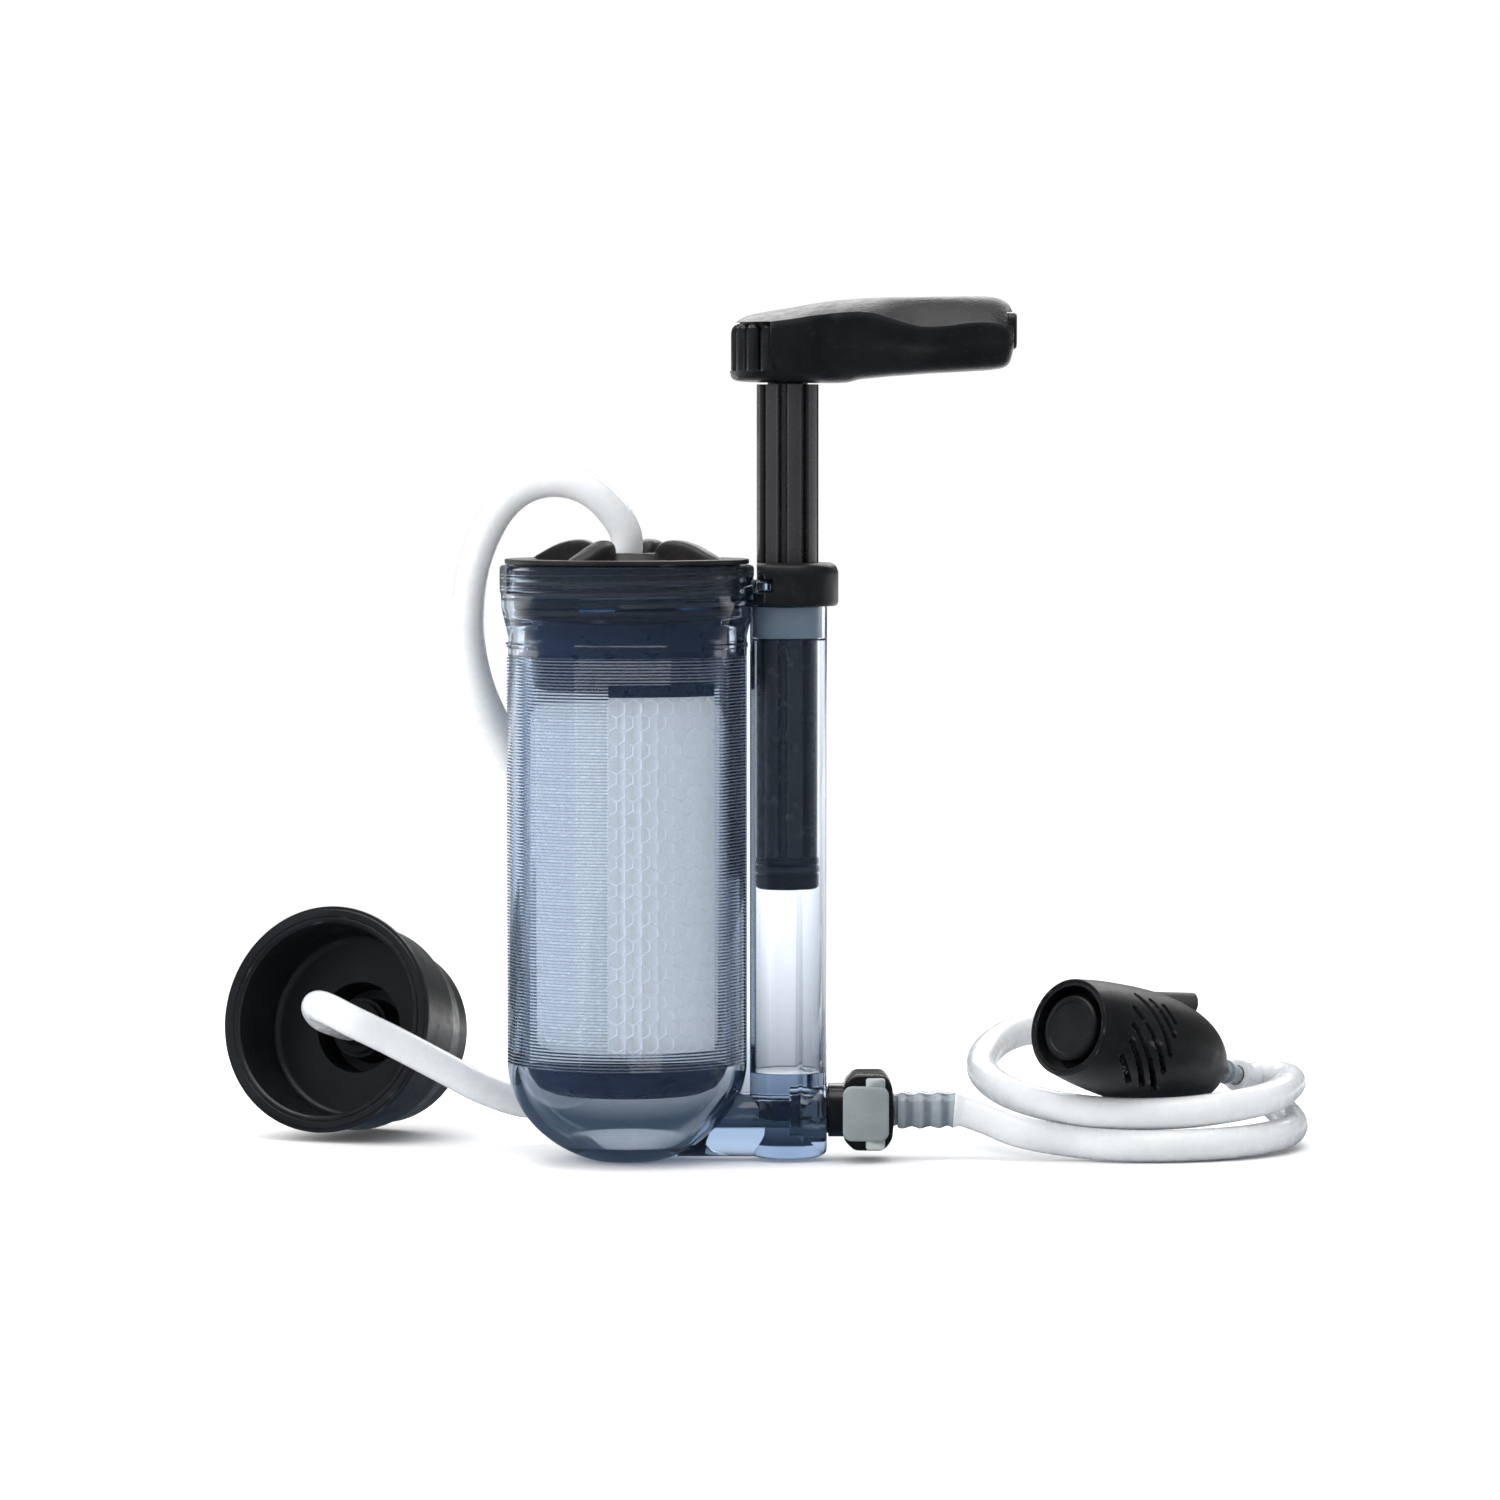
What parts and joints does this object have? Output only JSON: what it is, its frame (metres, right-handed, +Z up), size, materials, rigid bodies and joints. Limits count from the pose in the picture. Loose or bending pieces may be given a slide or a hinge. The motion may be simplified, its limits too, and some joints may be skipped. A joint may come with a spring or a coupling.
{
  "type": "pump water filter",
  "caption": "Hand pump water filter with a clear cartridge housing, T-handle pump, outlet hose with bottle adapter and coiled inlet hose with prefilter.",
  "frame": {"origin": "where the axis of the round housing meets the floor it stands on", "axes": "+Z up along the housing, +X from the housing to the pump cylinder, +Y to the back"},
  "size_m": [0.2675, 0.1112, 0.2073],
  "materials": {
    "clear_blue": "smoke-blue clear polycarbonate, polished",
    "black_plastic": "fine-grained black moulding",
    "black_gloss": "smooth black moulding",
    "navy_plastic": "dark blue moulding",
    "grey_plastic": "light grey moulding",
    "barb_grey": "blue-grey moulding",
    "frosted": "frosted grey-blue moulding",
    "milky_hose": "milky translucent hose",
    "black_rubber": "satin black rubber",
    "white_media": "white filter fabric",
    "carbon": "pressed activated carbon",
    "steel": "stainless"
  },
  "bodies": {
    "filter_body": {"filter_housing": "clear_blue", "valve_carrier": "navy_plastic", "outlet_valve_stop": "navy_plastic", "coupling_body": "black_gloss", "latch_spring": "steel"},
    "inlet_valve": {"inlet_valve_disc": "black_rubber"},
    "outlet_valve": {"outlet_valve_disc": "black_rubber"},
    "latch": {"latch_button": "grey_plastic"},
    "inlet_line": {"coupling_insert": "barb_grey", "insert_oring": "black_rubber", "inlet_hose": "milky_hose", "prefilter_shell": "black_plastic", "prefilter_barb": "barb_grey", "prefilter_peg": "black_plastic"},
    "prefilter_insert": {"prefilter_plug": "black_plastic", "prefilter_screen": "steel"},
    "pump_cap": {"pump_collar": "black_plastic", "rod_guide_bush": "frosted", "rod_wiper_seal": "black_rubber"},
    "pump_rod": {"piston_rod": "black_gloss", "piston_head": "black_plastic", "piston_oring": "black_rubber", "handle_clip": "steel"},
    "pump_handle": {"handle": "black_plastic", "handle_end_plug": "black_plastic"},
    "outlet_line": {"lid_oring": "black_rubber", "outlet_hose": "milky_hose", "adapter_nipple": "black_gloss"},
    "lid_assembly": {"lid": "black_plastic", "outlet_barb": "black_gloss"},
    "cartridge": {"cartridge_top_cap": "navy_plastic", "cartridge_oring": "black_rubber", "cartridge_bottom_cap": "navy_plastic", "protector_net": "white_media", "pleated_media": "white_media", "carbon_core": "carbon", "core_tube": "frosted"},
    "adapter": {"bottle_adapter": "black_rubber"}
  },
  "joints": [
    {"name": "pump_cap_lift", "type": "slide", "parent": "filter_body", "child": "pump_cap", "axis": [0, 0, 1], "range_m": [0, 0.08]},
    {"name": "pump_slide", "type": "slide", "parent": "pump_cap", "child": "pump_rod", "axis": [0, 0, 1], "range_m": [-0.0415, 0.052], "stiffness_N_per_m": 300},
    {"name": "handle_swivel", "type": "hinge", "parent": "pump_rod", "child": "pump_handle", "pos_m": [0.0385, 0, 0.19], "axis": [0, 0, 1], "range_deg": [-90, 90]},
    {"name": "latch_press", "type": "slide", "parent": "filter_body", "child": "latch", "axis": [0, 1, 0], "range_m": [0, 0.0016], "stiffness_N_per_m": 400, "deforming": ["latch_spring"]},
    {"name": "coupling_pull", "type": "slide", "parent": "filter_body", "child": "inlet_line", "axis": [1, 0, 0], "range_m": [0, 0.025]},
    {"name": "prefilter_pull", "type": "slide", "parent": "inlet_line", "child": "prefilter_insert", "axis": [-0.6806, -0.6886, 0.2502], "range_m": [0, 0.045]},
    {"name": "inlet_valve_open", "type": "slide", "parent": "filter_body", "child": "inlet_valve", "axis": [-1, 0, 0], "range_m": [0, 0.0012]},
    {"name": "outlet_valve_open", "type": "slide", "parent": "filter_body", "child": "outlet_valve", "axis": [-1, 0, 0], "range_m": [0, 0.0012]},
    {"name": "lid_lift", "type": "slide", "parent": "filter_body", "child": "outlet_line", "axis": [0, 0, 1], "range_m": [0, 0.00945]},
    {"name": "lid_turn", "type": "hinge", "parent": "outlet_line", "child": "lid_assembly", "pos_m": [0, 0, 0.143], "axis": [0, 0, 1], "range_deg": [0, 1290]},
    {"name": "cartridge_unplug", "type": "slide", "parent": "outlet_line", "child": "cartridge", "axis": [0, 0, -1], "range_m": [0, 0.005], "stiffness_N_per_m": 1500},
    {"name": "adapter_turn", "type": "hinge", "parent": "outlet_line", "child": "adapter", "pos_m": [-0.0754, 0.039, 0.0302], "axis": [-0.3896, -0.8991, 0.1998], "continuous": true}
  ],
  "couplings": [
    {"joint": "lid_turn", "follows": "lid_lift", "rad_per_m": 2380}
  ]
}
